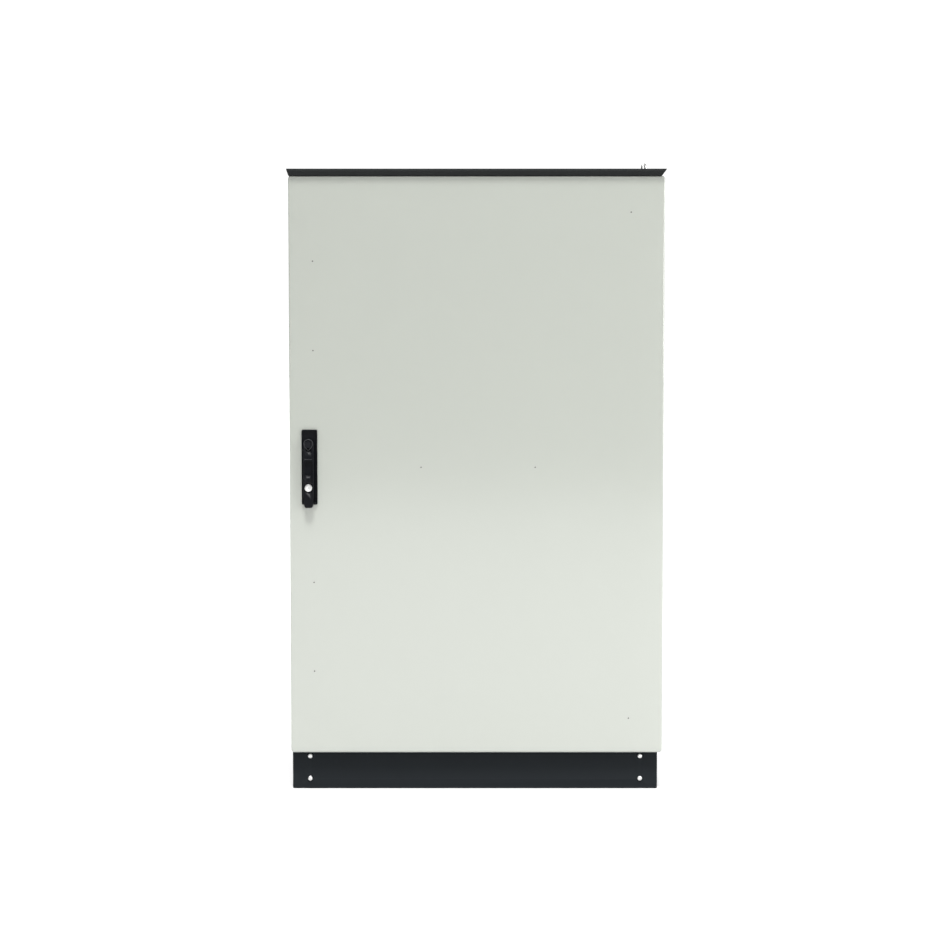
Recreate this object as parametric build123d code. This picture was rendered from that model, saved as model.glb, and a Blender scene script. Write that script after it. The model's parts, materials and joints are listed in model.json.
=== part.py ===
from build123d import *
import os

# Floor-standing battery cabinet: sheet-metal body on a plinth, one door, twelve battery blocks inside.
#
# Millimetres. +Z is up, the door faces -Y, and the hinges are at +X. The origin is on the floor, at the
# centre of the plinth's floor-fixing holes.

# Driving dimensions
WIDTH = 1000
DEPTH = 500
PLINTH_HEIGHT = 100
BODY_TOP = 1665
SHEET = 2
PLINTH_SHEET = 3

HALF_W = WIDTH / 2
FRONT = -DEPTH / 2
REAR = DEPTH / 2
INNER_X = HALF_W - SHEET
SIDES = (-1, 1)

# Screws, and how far a cutter reaches past the face it opens
M8_R = 4
M8_HOLE_R = 4.1
CUT = 1

# Front frame round the door opening
FRAME_WIDTH = 40
FRAME_DEPTH = 28
OPEN_X = INNER_X - FRAME_WIDTH
OPEN_BOTTOM = PLINTH_HEIGHT + SHEET + FRAME_WIDTH
OPEN_TOP = BODY_TOP - SHEET - FRAME_WIDTH

# Door
DOOR_LEFT = -502
DOOR_RIGHT = 511
DOOR_BOTTOM = 105
DOOR_TOP = 1668
DOOR_FRONT = FRONT - 27
DOOR_BACK = FRONT - 5
DOOR_CORNER = 8
DOOR_INSIDE = DOOR_FRONT + SHEET

# Gasket and stiffeners on the inside of the door
GASKET_CLEARANCE = 0.3
GASKET_X = 478
GASKET_BOTTOM = 121
GASKET_TOP = 1644
GASKET_HALF = 7
CHANNEL_HALF = 10
CHANNEL_BACK = FRONT - 12
CROSS_GASKET_X = GASKET_X - CHANNEL_HALF - SHEET
STIFFENER_HALF = 7
STIFFENER_GAP = 8
HANDLE_STIFFENER_X = -450
HINGE_STIFFENER_X = 440
STIFFENER_BOTTOM = 150
STIFFENER_TOP = 1615
POCKET_LEFT = -100
POCKET_RIGHT = 200
POCKET_BOTTOM = 1100
POCKET_TOP = 1330
POCKET_DEPTH = 40
POCKET_WALL = 3

# Hinges
HINGE_X = HALF_W + 5
HINGE_Y = FRONT - 1
KNUCKLE_R = 4
PIN_R = 2
PIN_CLEARANCE = 0.05
KNUCKLE = 30
KNUCKLE_GAP = 0.2
HINGE_HEIGHTS = (260, 885, 1510)

# Handle and lock
BASE_X = -447.5
HANDLE_X = BASE_X - 2
HANDLE_WIDTH = 42.5
HANDLE_BOTTOM = 784
HANDLE_TOP = 987
BASE_THICK = 6
BASE_FRONT = DOOR_FRONT - BASE_THICK
PIVOT_Z = 947
LEVER_THICK = 13
LEVER_GAP = 0.3
LEVER_WIDTH = 28
LEVER_TIP = 776
LEVER_BACK = BASE_FRONT - LEVER_GAP
LEVER_FRONT = LEVER_BACK - LEVER_THICK
PIVOT_Y = LEVER_BACK - LEVER_THICK / 2
PLUG_Z = 830
PLUG_R = 10
HUB_WIDTH = 12
SHAFT_R = 6
FINGER_BOTTOM = 862
FINGER_TOP = 904
ROD_X = -424
ROD_WIDTH = 12
ROD_THICK = 6
ROD_FIT = 0.2
ROD_BACK = FRONT - 0.5
GUIDE_HEIGHTS = (329, 572, 1200, 1440)
GUIDE_LEFT = -442
GUIDE_HALF = 10
RIVET_X = -437
RIVET_R = 1.95
RIVET_HOLE_R = 2
RIVET_PIT_R = 1
CROSSBAR_Z = 885
CROSSBAR_HALF = 25
CROSSBAR_RIVET_XS = (-146, 163)
EARTH_STUDS = [(419.5, 1571), (418.5, 199.5)]
CASE_LEFT = -467
CASE_RIGHT = -409
CASE_BOTTOM = 903
CASE_TOP = 991

# Roof and lifting points
ROOF_BOTTOM = DOOR_TOP + 0.6
ROOF_TOP = 1686
ROOF_WIDTH = 1020
ROOF_DEPTH = 543
ROOF_OFFSET = (4, -15.5)
ROOF_UNDER_WIDTH = 1003
ROOF_UNDER_DEPTH = 530
ROOF_UNDER_OFFSET = (0.5, -14)
ROOF_WALL = 10
EYE_X = 466
EYE_Y = 135
EYE_RING_R = 14
EYE_BAR_R = 4
EYE_HEIGHT = 36
EYE_TURN = 66
COLLAR_R = 10
COLLAR_HEIGHT = 6
ROOF_SCREWS = [(sx * EYE_X, sy * EYE_Y) for sx in SIDES for sy in SIDES]
ROOF_SCREW_END = BODY_TOP - 12

# Plinth fixings
BOLT_X = 452.5
BOLT_HEIGHTS = (28, 90)
FLOOR_X = 440
FLOOR_Y = 190
FLOOR_HOLE_R = 7
FOOT_X = 405
FOOT_Y = -155
FOOT_THICK = 4
BOLT_HEAD_R = 6.5
BOLT_HEAD = 4
SOCKET_R = 2.5

# Cable entry and side vents
ENTRY_Y = 120
ENTRY_HALF_X = 200
ENTRY_HALF_Y = 60
ENTRY_LAP = 15
GLAND_PITCH = 75
GLAND_XS = [GLAND_PITCH * (i - 2) for i in range(5)]
THREAD_R = 16
THREAD_HOLE_R = 16.1
VENT_HEIGHTS = (300, 1480)
VENT_HALF_Y = 90
VENT_HALF_Z = 50
VENT_THICK = 4
SLOT_HALF_Y = 80
SLOT_HALF_Z = 3
SLOT_PITCH = 14
SLOTS_EACH_WAY = 3

# Batteries and shelves
SHELF_HEIGHTS = (170, 560, 950)
SHELF_THICK = 3
SHELF_HALF_X = 485
SHELF_FRONT = -195
SHELF_BACK = 215
SHELF_LIP = 28
RAIL_INNER_X = 462
RAIL_HEIGHT = 25
BLOCK_WIDTH = 172
BLOCK_DEPTH = 330
BLOCK_HEIGHT = 210
BLOCK_PITCH = 230
BLOCK_XS = [BLOCK_PITCH * (i - 1.5) for i in range(4)]
BLOCK_FRONT = -170
BLOCK_CORNER = 6
LID_HEIGHT = 8
TERMINAL_X = 60
TERMINAL_Y = -120
TERMINAL_R = 9
TERMINAL_HEIGHT = 12
LINK_HALF = 10
LINK_THICK = 3

# Equipment panel
PLATE_FRONT = 215
PLATE_BOTTOM = 1330
PLATE_TOP = 1600
PLATE_HALF_X = 420
PLATE_THICK = 3
SPACER_INSET = 20
DIN_HEIGHT = 35
DIN_DEPTH = 7
DIN_HALF_X = 150
BREAKER_Z = 1470
BREAKER_HALF_X = 54
BREAKER_HALF_Z = 45
BREAKER_FRONT = PLATE_FRONT - 75
NOSE_HALF_Z = 22
NOSE_DEPTH = 10
TOGGLE_HALF_X = 45
TOGGLE_HUB_R = 9
TOGGLE_REACH = 24
BUSBAR_HEIGHTS = (1380, 1570)
BUSBAR_LEFT = -380
BUSBAR_RIGHT = -180
BUSBAR_GAP = 30
BUSBAR_THICK = 10
BUSBAR_HALF_Z = 12
FUSE_XS = (220, 290, 360)
FUSE_Z = 1470
FUSE_DEPTH = 35


def block(x0, x1, y0, y1, z0, z1):
    """A box given by its limits along X, Y and Z."""
    return Pos((x0 + x1) / 2, (y0 + y1) / 2, (z0 + z1) / 2) * Box(x1 - x0, y1 - y0, z1 - z0)


def rod_y(x, z, radius, y0, y1):
    """A round bar along Y."""
    return Pos(x, (y0 + y1) / 2, z) * Rot(90, 0, 0) * Cylinder(radius, y1 - y0)


def rod_x(y, z, radius, x0, x1):
    """A round bar along X."""
    return Pos((x0 + x1) / 2, y, z) * Rot(0, 90, 0) * Cylinder(radius, x1 - x0)


def rod_z(x, y, radius, z0, z1):
    """A round bar along Z."""
    return Pos(x, y, (z0 + z1) / 2) * Cylinder(radius, z1 - z0)


def save(node, solids):
    """Write one node, from one solid or a list of separate solids."""
    shape = Compound(children=solids) if isinstance(solids, list) else solids
    export_step(shape, f"parts/{node}.step")


def plinth():
    holes = [rod_y(sx * BOLT_X, z, M8_HOLE_R, FRONT - CUT, FRONT + 10) for sx in SIDES for z in BOLT_HEIGHTS]
    front = block(-HALF_W, HALF_W, FRONT, FRONT + PLINTH_SHEET, 0, PLINTH_HEIGHT)
    foot_edges = front.edges().filter_by(Axis.Y).group_by(Axis.Z)[0]
    front = fillet(foot_edges, 5) - holes
    save("plinth_front", front)
    save("plinth_rear", Rot(0, 0, 180) * front)
    side = block(HALF_W - PLINTH_SHEET, HALF_W, FRONT + PLINTH_SHEET, REAR - PLINTH_SHEET, 0, PLINTH_HEIGHT)
    save("plinth_side_right", side)
    save("plinth_side_left", Rot(0, 0, 180) * side)

    edge_x = HALF_W - PLINTH_SHEET
    edge_y = FRONT + PLINTH_SHEET
    leg_y = edge_y + FOOT_THICK
    top = PLINTH_HEIGHT - 1
    foot = block(FOOT_X, edge_x, edge_y, FOOT_Y, 0, FOOT_THICK)
    leg = block(FOOT_X, edge_x, edge_y, leg_y, FOOT_THICK, top)
    gusset = block(edge_x - FOOT_THICK, edge_x, leg_y, FOOT_Y, FOOT_THICK, top)
    floor_hole = rod_z(FLOOR_X, -FLOOR_Y, FLOOR_HOLE_R, -CUT, FOOT_THICK + CUT)
    corner = foot + leg + gusset - floor_hole - holes
    corners = [corner, mirror(corner, Plane.YZ), mirror(corner, Plane.XZ), Rot(0, 0, 180) * corner]
    save("plinth_corners", corners)

    bolts = []
    for turn in (0, 180):
        for sx in SIDES:
            for z in BOLT_HEIGHTS:
                head = rod_y(sx * BOLT_X, z, BOLT_HEAD_R, FRONT - BOLT_HEAD, FRONT)
                head = fillet(head.edges().group_by(Axis.Y)[0], 1.5)
                socket = rod_y(sx * BOLT_X, z, SOCKET_R, FRONT - BOLT_HEAD - CUT, FRONT - 1.5)
                shank = rod_y(sx * BOLT_X, z, M8_R, FRONT, FRONT + 12)
                bolts.append(Rot(0, 0, turn) * (head + shank - socket))
    save("plinth_bolts", bolts)


def body_panels():
    z0 = PLINTH_HEIGHT
    side = block(INNER_X, HALF_W, FRONT, REAR, z0, BODY_TOP)
    save("side_panel_right", side)
    save("side_panel_left", block(-HALF_W, -INNER_X, FRONT, REAR, z0, BODY_TOP))
    save("rear_panel", block(-INNER_X, INNER_X, REAR - SHEET, REAR, z0, BODY_TOP))
    lid = block(-INNER_X, INNER_X, FRONT, REAR - SHEET, BODY_TOP - SHEET, BODY_TOP)
    save("top_panel", lid - [rod_z(x, y, M8_HOLE_R, BODY_TOP - 5, BODY_TOP + 5) for x, y in ROOF_SCREWS])
    base = block(-INNER_X, INNER_X, FRONT, REAR - SHEET, z0, z0 + SHEET)
    opening = block(-ENTRY_HALF_X, ENTRY_HALF_X, ENTRY_Y - ENTRY_HALF_Y, ENTRY_Y + ENTRY_HALF_Y,
                    z0 - CUT, z0 + SHEET + CUT)
    save("base_panel", base - opening)
    stile_z = (z0 + SHEET, BODY_TOP - SHEET)
    inner = FRONT + FRAME_DEPTH
    save("front_stiles", [block(OPEN_X, INNER_X, FRONT, inner, *stile_z),
                          block(-INNER_X, -OPEN_X, FRONT, inner, *stile_z)])
    save("front_rails", [block(-OPEN_X, OPEN_X, FRONT, inner, z0 + SHEET, OPEN_BOTTOM),
                         block(-OPEN_X, OPEN_X, FRONT, inner, OPEN_TOP, BODY_TOP - SHEET)])
    save("rod_keepers", [block(ROD_X - ROD_WIDTH, ROD_X + ROD_WIDTH, FRONT + 2, FRONT + 14, *heights)
                         for heights in ((OPEN_TOP - 4, OPEN_TOP), (OPEN_BOTTOM, OPEN_BOTTOM + 4))])


def cable_entry():
    top = PLINTH_HEIGHT + SHEET
    seat = top + SHEET
    half_x = ENTRY_HALF_X + ENTRY_LAP
    half_y = ENTRY_HALF_Y + ENTRY_LAP
    plate = block(-half_x, half_x, ENTRY_Y - half_y, ENTRY_Y + half_y, top, seat)
    save("gland_plate", plate - [rod_z(x, ENTRY_Y, THREAD_HOLE_R, top - CUT, seat + CUT) for x in GLAND_XS])
    collar_height = 4
    nut_height = 8
    cap_height = 10
    glands = []
    for x in GLAND_XS:
        thread = rod_z(x, ENTRY_Y, THREAD_R, top - 12, seat)
        collar = rod_z(x, ENTRY_Y, THREAD_R + 4, seat, seat + collar_height)
        nut = Pos(x, ENTRY_Y, seat + collar_height) * extrude(RegularPolygon(THREAD_R + 6, 6), nut_height)
        nut_top = seat + collar_height + nut_height
        cap = rod_z(x, ENTRY_Y, THREAD_R + 1, nut_top, nut_top + cap_height)
        glands.append(thread + collar + nut + cap)
    save("cable_glands", glands)


def vents():
    grilles = []
    outer = HALF_W + VENT_THICK
    for sx in SIDES:
        for z in VENT_HEIGHTS:
            grille = block(HALF_W, outer, -VENT_HALF_Y, VENT_HALF_Y, z - VENT_HALF_Z, z + VENT_HALF_Z)
            for k in range(-SLOTS_EACH_WAY, SLOTS_EACH_WAY + 1):
                slot_z = z + k * SLOT_PITCH
                grille -= block(HALF_W + 1.5, outer + CUT, -SLOT_HALF_Y, SLOT_HALF_Y,
                                slot_z - SLOT_HALF_Z, slot_z + SLOT_HALF_Z)
            grilles.append(grille if sx > 0 else mirror(grille, Plane.YZ))
    save("side_vents", grilles)


def roof():
    lower = Pos(*ROOF_UNDER_OFFSET, ROOF_BOTTOM) * Rectangle(ROOF_UNDER_WIDTH, ROOF_UNDER_DEPTH)
    upper = Pos(*ROOF_OFFSET, ROOF_TOP) * Rectangle(ROOF_WIDTH, ROOF_DEPTH)
    shell = loft([lower, upper])
    hollow_x = HALF_W - ROOF_WALL
    hollow_y = REAR - ROOF_WALL
    ceiling = ROOF_TOP - SHEET
    hollow = block(-hollow_x, hollow_x, -hollow_y, hollow_y, ROOF_BOTTOM - CUT, ceiling)
    bores = [rod_z(x, y, M8_HOLE_R, ROOF_TOP - 5, ROOF_TOP + 5) for x, y in ROOF_SCREWS]
    save("rain_roof", shell - hollow - bores)
    spacers = [rod_z(x, y, COLLAR_R, BODY_TOP, ceiling) - rod_z(x, y, M8_HOLE_R, BODY_TOP - CUT, ROOF_TOP)
               for x, y in ROOF_SCREWS]
    save("roof_spacers", spacers)

    x = -EYE_X
    y = EYE_Y
    shank = rod_z(x, y, M8_R, ROOF_SCREW_END, ROOF_TOP)
    collar = rod_z(x, y, COLLAR_R, ROOF_TOP, ROOF_TOP + COLLAR_HEIGHT)
    neck = rod_z(x, y, EYE_BAR_R + 1, ROOF_TOP, ROOF_TOP + 2 * EYE_BAR_R)
    ring_z = ROOF_TOP + EYE_HEIGHT - EYE_RING_R - EYE_BAR_R
    ring = Pos(x, y, ring_z) * Rot(0, 0, EYE_TURN) * Rot(90, 0, 0) * Torus(EYE_RING_R, EYE_BAR_R)
    eye = collar + shank + neck + ring
    save("lifting_eyebolts", [eye, Rot(0, 0, 180) * eye])
    cap = rod_z(x, -y, COLLAR_R - 1, ROOF_TOP, ROOF_TOP + 3)
    plug = cap + rod_z(x, -y, M8_R, ROOF_SCREW_END, ROOF_TOP)
    save("roof_plugs", [plug, Rot(0, 0, 180) * plug])


def door():
    shell = block(DOOR_LEFT, DOOR_RIGHT, DOOR_FRONT, DOOR_BACK, DOOR_BOTTOM, DOOR_TOP)
    shell = fillet(shell.edges().filter_by(Axis.Y), DOOR_CORNER)
    pocket = block(DOOR_LEFT + SHEET, DOOR_RIGHT - SHEET, DOOR_INSIDE, DOOR_BACK + CUT,
                   DOOR_BOTTOM + SHEET, DOOR_TOP - SHEET)
    pocket = fillet(pocket.edges().filter_by(Axis.Y), DOOR_CORNER - SHEET)
    rivets = [(RIVET_X, z) for z in GUIDE_HEIGHTS]
    rivets += [(x, CROSSBAR_Z) for x in CROSSBAR_RIVET_XS]
    rivets += EARTH_STUDS
    rivet_holes = [rod_y(x, z, RIVET_HOLE_R, DOOR_FRONT - CUT, DOOR_INSIDE + CUT) for x, z in rivets]
    spindle_hole = rod_y(HANDLE_X, PIVOT_Z, 8, DOOR_FRONT - CUT, DOOR_INSIDE + CUT)
    save("door_skin", shell - pocket - rivet_holes - spindle_hole)

    shanks = []
    for x, z in rivets:
        pit = rod_y(x, z, RIVET_PIT_R, DOOR_FRONT - CUT, DOOR_FRONT + 1)
        shanks.append(rod_y(x, z, RIVET_R, DOOR_FRONT + 0.1, DOOR_INSIDE) - pit)
    save("door_rivets", shanks)

    stile_back = FRONT + 5
    runs = [(HANDLE_STIFFENER_X, STIFFENER_BOTTOM, CASE_BOTTOM - STIFFENER_GAP),
            (HANDLE_STIFFENER_X, CASE_TOP + STIFFENER_GAP, STIFFENER_TOP),
            (HINGE_STIFFENER_X, STIFFENER_BOTTOM, STIFFENER_TOP)]
    save("door_stiffeners", [block(x - STIFFENER_HALF, x + STIFFENER_HALF, DOOR_INSIDE, stile_back, z0, z1)
                             for x, z0, z1 in runs])
    save("door_crossbar", block(CASE_RIGHT + 4, HINGE_STIFFENER_X - STIFFENER_HALF - 3,
                                DOOR_INSIDE, DOOR_INSIDE + 12,
                                CROSSBAR_Z - CROSSBAR_HALF, CROSSBAR_Z + CROSSBAR_HALF))

    channel_rise = 8
    channels = []
    seals = []
    seal_back = FRONT - GASKET_CLEARANCE
    for sx in SIDES:
        x = sx * GASKET_X
        channels.append(block(x - CHANNEL_HALF, x + CHANNEL_HALF, DOOR_INSIDE, CHANNEL_BACK,
                              GASKET_BOTTOM - channel_rise, GASKET_TOP + channel_rise))
        seals.append(block(x - GASKET_HALF, x + GASKET_HALF, CHANNEL_BACK, seal_back,
                           GASKET_BOTTOM - GASKET_HALF, GASKET_TOP + GASKET_HALF))
    for z in (GASKET_BOTTOM, GASKET_TOP):
        channels.append(block(-CROSS_GASKET_X, CROSS_GASKET_X, DOOR_INSIDE, CHANNEL_BACK,
                              z - channel_rise, z + channel_rise))
        seals.append(block(-CROSS_GASKET_X, CROSS_GASKET_X, CHANNEL_BACK, seal_back,
                           z - GASKET_HALF + 1, z + GASKET_HALF - 1))
    save("gasket_channels", channels)
    save("door_gasket", seals)
    save("door_earth_studs", [rod_y(x, z, M8_R, DOOR_INSIDE, DOOR_INSIDE + 16) for x, z in EARTH_STUDS])

    pocket_back = DOOR_INSIDE + POCKET_DEPTH
    outer = block(POCKET_LEFT, POCKET_RIGHT, DOOR_INSIDE, pocket_back, POCKET_BOTTOM, POCKET_TOP)
    well = block(POCKET_LEFT + POCKET_WALL, POCKET_RIGHT - POCKET_WALL, DOOR_INSIDE + POCKET_WALL,
                 pocket_back - POCKET_WALL, POCKET_BOTTOM + POCKET_WALL, POCKET_TOP + CUT)
    save("document_pocket", outer - well)


def hinges():
    frame_leaves = []
    door_leaves = []
    pins = []
    for z in HINGE_HEIGHTS:
        lower = (z - KNUCKLE, z - KNUCKLE_GAP)
        upper = (z + KNUCKLE_GAP, z + KNUCKLE)
        barrel = rod_z(HINGE_X, HINGE_Y, KNUCKLE_R, *lower)
        leaf = block(HALF_W, HALF_W + SHEET, HINGE_Y, FRONT + FRAME_DEPTH, *lower)
        bore = rod_z(HINGE_X, HINGE_Y, PIN_R, z - KNUCKLE - CUT, z)
        frame_leaves.append(barrel + leaf - bore)
        barrel = rod_z(HINGE_X, HINGE_Y, KNUCKLE_R, *upper)
        leaf = block(DOOR_RIGHT - 2 * SHEET, DOOR_RIGHT - SHEET, DOOR_INSIDE + 1, HINGE_Y, *upper)
        bore = rod_z(HINGE_X, HINGE_Y, PIN_R + PIN_CLEARANCE, z, z + KNUCKLE + CUT)
        door_leaves.append(barrel + leaf - bore)
        pins.append(rod_z(HINGE_X, HINGE_Y, PIN_R, z - KNUCKLE, z + KNUCKLE - 1))
    save("hinge_frame_leaves", frame_leaves)
    save("hinge_door_leaves", door_leaves)
    save("hinge_pins", pins)


def handle():
    half = HANDLE_WIDTH / 2
    base = block(BASE_X - half, BASE_X + half, BASE_FRONT, DOOR_FRONT, HANDLE_BOTTOM, HANDLE_TOP)
    base = fillet(base.edges().filter_by(Axis.Y), 5)
    base = chamfer(base.faces().sort_by(Axis.Y)[0].edges(), 1.5)
    save("handle_base", base - rod_y(HANDLE_X, PIVOT_Z, SHAFT_R + 0.1, BASE_FRONT - CUT, DOOR_FRONT + CUT))

    hub = block(HANDLE_X - HUB_WIDTH / 2, HANDLE_X + HUB_WIDTH / 2, LEVER_FRONT + 1, LEVER_BACK,
                PIVOT_Z - 9, PIVOT_Z + 9)
    shaft = rod_y(HANDLE_X, PIVOT_Z, SHAFT_R, LEVER_BACK, FRONT - 1)
    reach = LEVER_WIDTH / 2
    ends = (HANDLE_X - reach, HANDLE_X + reach)
    save("handle_spindle", hub + shaft - rod_x(PIVOT_Y, PIVOT_Z, PIN_R + PIN_CLEARANCE, *ends))

    bar = block(*ends, LEVER_FRONT, LEVER_BACK, LEVER_TIP, PIVOT_Z)
    tip_edges = bar.edges().filter_by(Axis.Y).group_by(Axis.Z)[0]
    bar = fillet(tip_edges, 9)
    crown = rod_x(PIVOT_Y, PIVOT_Z, LEVER_THICK / 2, *ends)
    slot_half = HUB_WIDTH / 2 + 0.2
    slot = block(HANDLE_X - slot_half, HANDLE_X + slot_half, LEVER_FRONT - CUT, LEVER_BACK + CUT,
                 PIVOT_Z - 20, PIVOT_Z + 20)
    finger = block(HANDLE_X - 10, HANDLE_X + 10, LEVER_FRONT - CUT, LEVER_FRONT + 7,
                   FINGER_BOTTOM, FINGER_TOP)
    plug_bore = rod_y(HANDLE_X, PLUG_Z, PLUG_R + PIN_CLEARANCE, LEVER_FRONT - CUT, LEVER_BACK + CUT)
    pin = rod_x(PIVOT_Y, PIVOT_Z, PIN_R, *ends)
    save("handle_lever", bar + crown - slot - finger - plug_bore - pin)
    save("lever_pin", pin)

    plug = rod_y(HANDLE_X, PLUG_Z, PLUG_R, LEVER_FRONT - 2, LEVER_BACK - 0.5)
    key_slot = block(HANDLE_X - 1, HANDLE_X + 1, LEVER_FRONT - 3, LEVER_FRONT + 4, PLUG_Z - 5, PLUG_Z + 5)
    save("lock_plug", plug - key_slot)


def lock_gear():
    cam_front = ROD_BACK - ROD_THICK
    case = block(CASE_LEFT, CASE_RIGHT, DOOR_INSIDE, cam_front - 0.5, CASE_BOTTOM, CASE_TOP)
    save("lock_case", case - rod_y(HANDLE_X, PIVOT_Z, SHAFT_R + 0.1, DOOR_INSIDE - CUT, FRONT))
    cam = rod_y(HANDLE_X, PIVOT_Z, 15, cam_front, ROD_BACK)
    save("drive_cam", cam - rod_y(HANDLE_X, PIVOT_Z, SHAFT_R, cam_front - CUT, FRONT))
    half = ROD_WIDTH / 2
    way_half = half + ROD_FIT
    save("lock_rod_upper", block(ROD_X - half, ROD_X + half, cam_front, ROD_BACK, 960, OPEN_TOP - 7))
    save("lock_rod_lower", block(ROD_X - half, ROD_X + half, cam_front, ROD_BACK, OPEN_BOTTOM + 7, 915))
    guides = []
    for z in GUIDE_HEIGHTS:
        guide = block(GUIDE_LEFT, ROD_X + 11, DOOR_INSIDE, FRONT + 3, z - GUIDE_HALF, z + GUIDE_HALF)
        way = block(ROD_X - way_half, ROD_X + way_half, cam_front - ROD_FIT, ROD_BACK + ROD_FIT,
                    z - GUIDE_HALF - CUT, z + GUIDE_HALF + CUT)
        guides.append(guide - way)
    save("rod_guides", guides)


def batteries():
    rails = []
    shelves = []
    cases = []
    lids = []
    terminals = []
    links = []
    for level in SHELF_HEIGHTS:
        rail = block(RAIL_INNER_X, INNER_X, SHELF_FRONT - 5, SHELF_BACK + 5, level - RAIL_HEIGHT, level)
        rails += [rail, mirror(rail, Plane.YZ)]
        tray = block(-SHELF_HALF_X, SHELF_HALF_X, SHELF_FRONT, SHELF_BACK, level, level + SHELF_THICK)
        shelves.append(tray + block(-SHELF_HALF_X, SHELF_HALF_X, SHELF_FRONT, SHELF_FRONT + SHELF_THICK,
                                    level, level + SHELF_LIP))
        floor = level + SHELF_THICK
        top = floor + BLOCK_HEIGHT
        lid_top = top + LID_HEIGHT
        link_z = lid_top + TERMINAL_HEIGHT
        for x in BLOCK_XS:
            outline = (x - BLOCK_WIDTH / 2, x + BLOCK_WIDTH / 2, BLOCK_FRONT, BLOCK_FRONT + BLOCK_DEPTH)
            case = block(*outline, floor, top)
            cases.append(fillet(case.edges().filter_by(Axis.Z), BLOCK_CORNER))
            lid = block(*outline, top, lid_top)
            lids.append(fillet(lid.edges().filter_by(Axis.Z), BLOCK_CORNER))
            for sx in SIDES:
                terminals.append(rod_z(x + sx * TERMINAL_X, TERMINAL_Y, TERMINAL_R, lid_top, link_z))
        for x in BLOCK_XS[:-1]:
            links.append(block(x + TERMINAL_X - LINK_HALF, x + BLOCK_PITCH - TERMINAL_X + LINK_HALF,
                               TERMINAL_Y - LINK_HALF, TERMINAL_Y + LINK_HALF, link_z, link_z + LINK_THICK))
    save("shelf_rails", rails)
    save("battery_shelves", shelves)
    save("battery_cases", cases)
    save("battery_lids", lids)
    save("battery_terminals", terminals)
    save("battery_links", links)


def equipment():
    plate_back = PLATE_FRONT + PLATE_THICK
    save("mounting_plate", block(-PLATE_HALF_X, PLATE_HALF_X, PLATE_FRONT, plate_back,
                                 PLATE_BOTTOM, PLATE_TOP))
    spacer_x = PLATE_HALF_X - SPACER_INSET
    spacer_heights = (PLATE_BOTTOM + SPACER_INSET, PLATE_TOP - SPACER_INSET)
    save("plate_spacers", [rod_y(sx * spacer_x, z, 8, plate_back, REAR - SHEET)
                           for sx in SIDES for z in spacer_heights])
    rail_front = PLATE_FRONT - DIN_DEPTH
    half_rail = DIN_HEIGHT / 2
    save("din_rail", block(-DIN_HALF_X, DIN_HALF_X, rail_front, PLATE_FRONT,
                           BREAKER_Z - half_rail, BREAKER_Z + half_rail))

    case = block(-BREAKER_HALF_X, BREAKER_HALF_X, BREAKER_FRONT, rail_front,
                 BREAKER_Z - BREAKER_HALF_Z, BREAKER_Z + BREAKER_HALF_Z)
    nose = block(-BREAKER_HALF_X, BREAKER_HALF_X, BREAKER_FRONT - NOSE_DEPTH, BREAKER_FRONT,
                 BREAKER_Z - NOSE_HALF_Z, BREAKER_Z + NOSE_HALF_Z)
    well_x = TOGGLE_HALF_X + 1
    recess = rod_x(BREAKER_FRONT, BREAKER_Z, TOGGLE_HUB_R + 0.5, -well_x, well_x)
    slot = block(-well_x, well_x, BREAKER_FRONT - NOSE_DEPTH - CUT, BREAKER_FRONT,
                 BREAKER_Z - 2 * TOGGLE_HUB_R, BREAKER_Z + 2 * TOGGLE_HUB_R)
    save("breaker_case", case + nose - recess - slot)
    hub = rod_x(BREAKER_FRONT, BREAKER_Z, TOGGLE_HUB_R, -TOGGLE_HALF_X, TOGGLE_HALF_X)
    paddle = block(-TOGGLE_HALF_X, TOGGLE_HALF_X, BREAKER_FRONT - TOGGLE_REACH, BREAKER_FRONT,
                   BREAKER_Z + 1, BREAKER_Z + TOGGLE_HUB_R - 1)
    save("breaker_toggle", hub + paddle)

    bar_back = PLATE_FRONT - BUSBAR_GAP
    bars = [block(BUSBAR_LEFT, BUSBAR_RIGHT, bar_back - BUSBAR_THICK, bar_back,
                  z - BUSBAR_HALF_Z, z + BUSBAR_HALF_Z) for z in BUSBAR_HEIGHTS]
    save("busbars", bars)
    insulator_xs = (BUSBAR_LEFT + 25, BUSBAR_RIGHT - 25)
    save("busbar_insulators", [rod_y(x, z, BUSBAR_HALF_Z, bar_back, PLATE_FRONT)
                               for x in insulator_xs for z in BUSBAR_HEIGHTS])
    base_front = PLATE_FRONT - FUSE_DEPTH
    save("fuse_bases", [block(x - 25, x + 25, base_front, PLATE_FRONT, FUSE_Z - 70, FUSE_Z + 70)
                        for x in FUSE_XS])
    save("fuse_cartridges", [block(x - 20, x + 20, base_front - 45, base_front, FUSE_Z - 35, FUSE_Z + 35)
                             for x in FUSE_XS])
    save("earth_bar", block(200, 380, PLATE_FRONT - 12, PLATE_FRONT, PLATE_BOTTOM + 20, PLATE_BOTTOM + 40))


os.makedirs("parts", exist_ok=True)
plinth()
body_panels()
cable_entry()
vents()
roof()
door()
hinges()
handle()
lock_gear()
batteries()
equipment()
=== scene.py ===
import json
import math

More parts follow.
